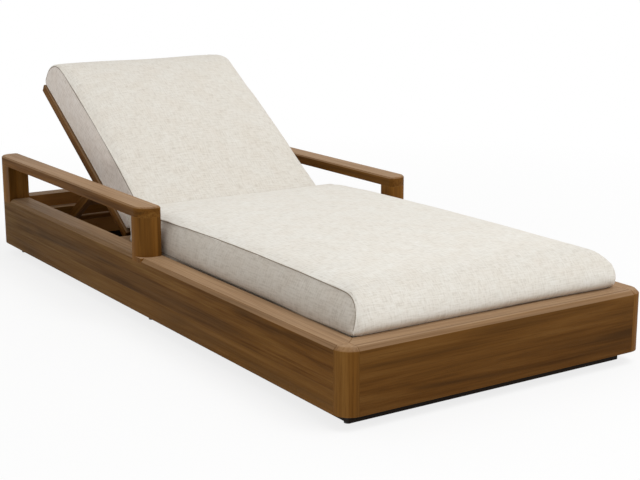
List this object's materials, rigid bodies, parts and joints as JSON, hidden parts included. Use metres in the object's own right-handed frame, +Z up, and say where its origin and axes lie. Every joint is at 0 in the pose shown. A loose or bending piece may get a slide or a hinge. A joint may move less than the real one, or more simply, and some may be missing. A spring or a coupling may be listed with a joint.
{
  "type": "chaise longue",
  "caption": "Low chaise longue on a solid teak box base with open arms, thick boxed cushions and a back that reclines on a notched prop.",
  "frame": {"origin": "on the floor under the middle of the base", "axes": "+Z up, +Y from the foot end to the head end, +X to the right of someone lying on it"},
  "size_m": [0.886, 2, 0.6217],
  "materials": {
    "teak": "oiled, satin",
    "inner_wood": "sanded",
    "plinth_dark": "dark stained",
    "steel": "brushed",
    "glide_plastic": "matt",
    "cushion_fabric": "slubby plain weave"
  },
  "bodies": {
    "base": {"arm_cap_left": "teak", "arm_cap_right": "teak", "arm_dowels": "inner_wood", "arm_post_front_left": "teak", "arm_post_front_right": "teak", "arm_post_rear_left": "teak", "arm_post_rear_right": "teak", "center_bearer": "teak", "corner_blocks": "inner_wood", "corner_post_foot_left": "teak", "corner_post_foot_right": "teak", "corner_post_head_left": "teak", "corner_post_head_right": "teak", "floor_glides": "glide_plastic", "foot_rail": "teak", "head_ledger": "teak", "head_rail": "teak", "hinge_beam": "teak", "hinge_forks": "steel", "hinge_pins": "steel", "plinth_foot": "plinth_dark", "plinth_head": "plinth_dark", "plinth_side_left": "plinth_dark", "plinth_side_right": "plinth_dark", "rack_left": "teak", "rack_right": "teak", "seat_cleat_left": "teak", "seat_cleat_right": "teak", "seat_cushion": "cushion_fabric", "seat_slats": "teak", "side_rail_left": "teak", "side_rail_right": "teak"},
    "backrest": {"back_bottom_rail": "teak", "back_cushion": "cushion_fabric", "back_slats": "teak", "back_stile_left": "teak", "back_stile_right": "teak", "back_top_rail": "teak", "hinge_lugs": "steel", "prop_brackets": "steel", "prop_pins": "steel"},
    "prop": {"prop_foot_bar": "teak", "prop_leg_left": "teak", "prop_leg_right": "teak", "prop_tie_bar": "teak"}
  },
  "joints": [
    {"name": "backrest_recline", "type": "hinge", "parent": "base", "child": "backrest", "pos_m": [0, 0.345, 0.127], "axis": [1, 0, 0], "range_deg": [-29, 12]},
    {"name": "prop_swing", "type": "hinge", "parent": "backrest", "child": "prop", "pos_m": [0, 0.56725, 0.27133], "axis": [1, 0, 0], "range_deg": [-24, 58]}
  ],
  "couplings": [
    {"joint": "prop_swing", "follows": "backrest_recline", "ratio": -2}
  ]
}
